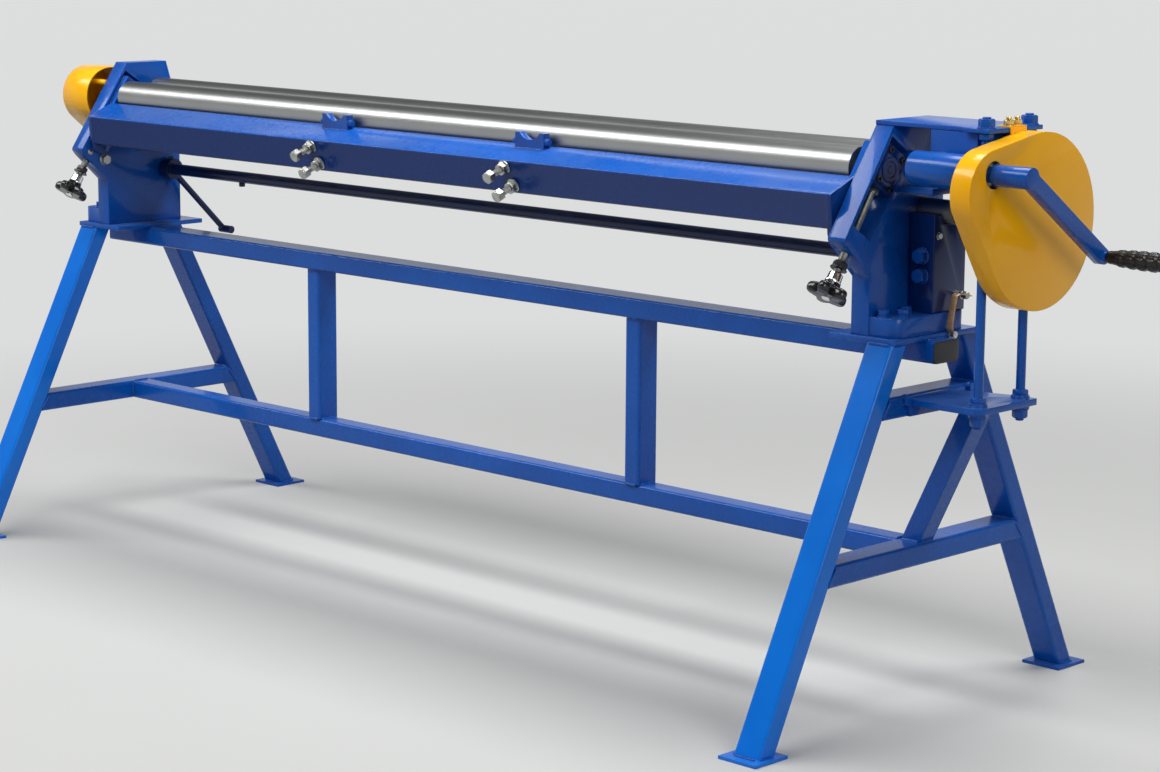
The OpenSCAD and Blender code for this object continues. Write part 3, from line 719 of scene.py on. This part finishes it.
for name in ("left", "right"):
    x = (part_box("screw_" + name)[0].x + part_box("screw_" + name)[1].x) / 2
    centre = on_slide(x, 0, 0)
    body = "knob_%s_body" % name
    spindle = thread(on_slide(x, SCREW_FOOT, 0), slide, SCREW_LONG, SCREW_RADIUS, 0.002, 20)
    screw = shaped("screw_%s_finished" % name, [spindle], zinc, body, 50)
    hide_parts("screw_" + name)
    knob = shaped("star_knob_%s_finished" % name,
                  [turned(centre, slide, star, 120, five_lobes)],
                  phenolic, body, 60)
    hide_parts("star_knob_" + name)
    shaped("knob_collar_" + name,
           [turned(centre, slide, collar, 40), turned(centre, slide, end_cap, 32)],
           chrome, body)
    shaped("lock_nut_" + name, nut(on_slide(x, LOCK_NUT, 0), slide, 0.024, 0.012),
           block_steel, body)
    shaped("thrust_nut_" + name, nut(on_slide(x, THRUST_NUT, 0), -slide, 0.022, 0.010, False),
           zinc, "bend_slide_body")

# -------------------------------------------------------------- lift shaft
# A long round shaft low behind the rolls carries a lever near the left end.
# Both are mild steel under a darker, thinner coat of navy enamel.
shaft_enamel = enamel("shaft_enamel", (0.0030, 0.010, 0.060, 1), (0.0040, 0.016, 0.085, 1),
                      (0.03, 0.05, 0.12, 1), 0.28, 0.15, 0.10)
coat(shaft_enamel, "lift_shaft", "lift_lever")

# A lug under the shaft and a set screw on the lever's hub: x from the stand's middle, and height
# from the shaft's axis.
LUG, SET_SCREW = (-0.820, -0.0122), (-1.083, 0.0235)
low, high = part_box("lift_shaft")
y, z = (low.y + high.y) / 2, (low.z + high.z) / 2
shaped("shaft_lugs", nut((middle_x + LUG[0], y, z + LUG[1]), DOWN, 0.013, 0.009, False)
       + nut((middle_x + SET_SCREW[0], y, z + SET_SCREW[1]), UP, 0.012, 0.006, False),
       shaft_enamel, "lift_body")

# ------------------------------------------------------------------ crank
# The crank is a round stub, a flat bar and a fixed spindle, welded together
# and painted, with a black moulded grip whose soft pads stand in rows.
softened(stand_enamel, 0.0010, "crank_arm")

grip_rubber = Finish("grip_rubber")
skin = grip_rubber.noise(300, 4, 0.6)
hand = grip_rubber.noise(30, 3)
grip_rubber.set(Base_Color=grip_rubber.mix(hand, (0.004, 0.004, 0.004, 1),
                                           (0.012, 0.012, 0.012, 1)),
                Specular_IOR_Level=0.4, Roughness=skin * 0.12 + hand * 0.12 + 0.16,
                Normal=grip_rubber.bump(skin, 0.12, 0.0004))


def padded_grip(foot, length, neck, belly):
    """A grip along x, with t from 0 to 1 along it. Past the first tenth the radius swells from
    the neck to the belly and back, as a half sine raised to 0.7. Pads stand 1.4 mm proud in rows
    22 mm apart, eight round it, and the skin between them is sunk by 1 mm."""
    proud, sunk, row, pads_round = 0.0014, 0.0010, 0.022, 8
    t = np.linspace(0, 1, 220)
    angle = np.arange(96)[:, None] * math.tau / 96
    base = neck + (belly - neck) * np.sin(math.pi * np.clip((t - 0.10) / 0.90, 0, 1)) ** 0.7
    ends = np.sqrt(np.clip(1 - (2 * t - 1) ** 24, 0, 1))
    rows = 0.5 + 0.5 * np.cos(math.tau * (t * length - 1.5 * row) / row)
    round_it = 0.5 + 0.5 * np.cos(pads_round * angle)
    pads = np.clip(rows * 1.6, 0, 1) ** 1.5 * np.clip(round_it * 2.0, 0, 1) ** 1.2
    pads = pads * np.clip((t - 0.12) / 0.05, 0, 1) * np.clip((0.97 - t) / 0.05, 0, 1)
    reach = (base + proud * pads - sunk) * ends
    return np.stack([np.broadcast_to(foot[0] + t * length, reach.shape),
                     foot[1] + reach * np.cos(angle), foot[2] + reach * np.sin(angle)], -1)


NECK, BELLY = 0.0130, 0.0172
low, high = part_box("crank_grip")
foot = (low.x, (low.y + high.y) / 2, (low.z + high.z) / 2)
grip = shaped("crank_grip_finished", [padded_grip(foot, high.x - low.x, NECK, BELLY)],
              grip_rubber, "crank_body", 70)
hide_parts("crank_grip")

# ------------------------------------------------------------------ studio
# A plain pale floor that fades into a pale surround, with a long soft lamp
# high on the left, one overhead and a weaker one off the crank end.


def lamp(name, place, target, size, power):
    """A soft rectangular lamp at a place, with its long side level, turned to face its target."""
    light = bpy.data.lights.new(name, "AREA")
    light.shape = "RECTANGLE"
    light.size, light.size_y = size
    light.energy = power
    made = bpy.data.objects.new(name, light)
    bpy.context.scene.collection.objects.link(made)
    place, target = np.array(place, float), np.array(target, float)
    back = (place - target) / np.linalg.norm(place - target)
    right = np.cross(UP, back)
    right /= np.linalg.norm(right)
    turned_to = np.eye(4)
    turned_to[:3, :4] = np.c_[right, np.cross(back, right), back, place]
    made.matrix_world = Matrix(turned_to.tolist())


lamp("lamp_front_left", (-2.5, -2.16, 3.90), (-2.5, -0.1, 0.95), (7.0, 1.2), 225)
lamp("lamp_overhead", (1.0, 0.95, 4.0), (1.0, 0.1, 0.6), (3.6, 1.3), 120)
lamp("lamp_crank_end", (4.2, -1.6, 2.3), (1.0, 0, 0.8), (1.6, 1.6), 40)


def seen_rays(finish):
    """1 for a ray that is seen, straight, in a reflection or through glass, and 0 for lighting."""
    rays = [finish.add("ShaderNodeLightPath", {}, {}, "Is %s Ray" % kind)
            for kind in ("Camera", "Glossy", "Transmission")]
    return (rays[0] + rays[1] + rays[2]).step(0.0, 1.0)


HORIZON, ZENITH = (0.70, 0.71, 0.705, 1), (0.09, 0.095, 0.10, 1)
floor_finish = Finish("floor_finish")
from_origin = floor_finish.add("ShaderNodeVectorMath", {"operation": "LENGTH"},
                               {0: floor_finish.place}, "Value")
far = from_origin.step(0.7, 4.2)
seen = seen_rays(floor_finish)
drift = floor_finish.noise(1.4, 4)
near = floor_finish.mix(drift, (0.56, 0.565, 0.555, 1), (0.60, 0.605, 0.59, 1))
floor_finish.set(Base_Color=floor_finish.mix(far, near, (0, 0, 0, 1)), Roughness=0.75,
                 Specular_IOR_Level=0.2,
                 Emission_Color=floor_finish.mix(far * seen, (0, 0, 0, 1), HORIZON),
                 Emission_Strength=1.0)
HALF_FLOOR = 90
floor_mesh = bpy.data.meshes.new("floor")
floor_mesh.from_pydata([(x * HALF_FLOOR, y * HALF_FLOOR, 0)
                        for x, y in ((-1, -1), (1, -1), (1, 1), (-1, 1))], [], [(0, 1, 2, 3)])
floor = bpy.data.objects.new("floor", floor_mesh)
bpy.context.scene.collection.objects.link(floor)
floor_mesh.materials.append(floor_finish.material)

surround = Finish("surround", world=True)
height = surround.axis(surround.add("ShaderNodeTexCoord", {}, {}, "Generated"), "Z")
surround.set(Color=surround.mix(height.step(0.08, 0.42), HORIZON, ZENITH),
             Strength=seen_rays(surround) * 0.50 + 0.50)
bpy.context.scene.world = surround.material
bpy.context.scene.view_settings.view_transform = "Standard"

# The camera stands at head height off the crank end of the machine and looks
# back along it, turned 44 degrees from square on and 10 degrees down.
YAW, PITCH, TILT = 0.7748, 0.17586, 0.00635
STANDS_AT = np.array([middle_x + 4.3296, -4.1012, 1.5118])
ahead = np.array([-math.sin(YAW) * math.cos(PITCH), math.cos(YAW) * math.cos(PITCH),
                  -math.sin(PITCH)])
level_right = np.array([math.cos(YAW), math.sin(YAW), 0])
upright = np.cross(level_right, ahead)
camera_data = bpy.data.cameras.new("camera")
camera_data.sensor_width = 36
camera_data.lens = 89.47
camera = bpy.data.objects.new("camera", camera_data)
bpy.context.scene.collection.objects.link(camera)
pose = np.eye(4)
pose[:3, :4] = np.c_[math.cos(TILT) * level_right + math.sin(TILT) * upright,
                     math.cos(TILT) * upright - math.sin(TILT) * level_right,
                     -ahead, STANDS_AT]
camera.matrix_world = Matrix(pose.tolist())
bpy.context.scene.camera = camera
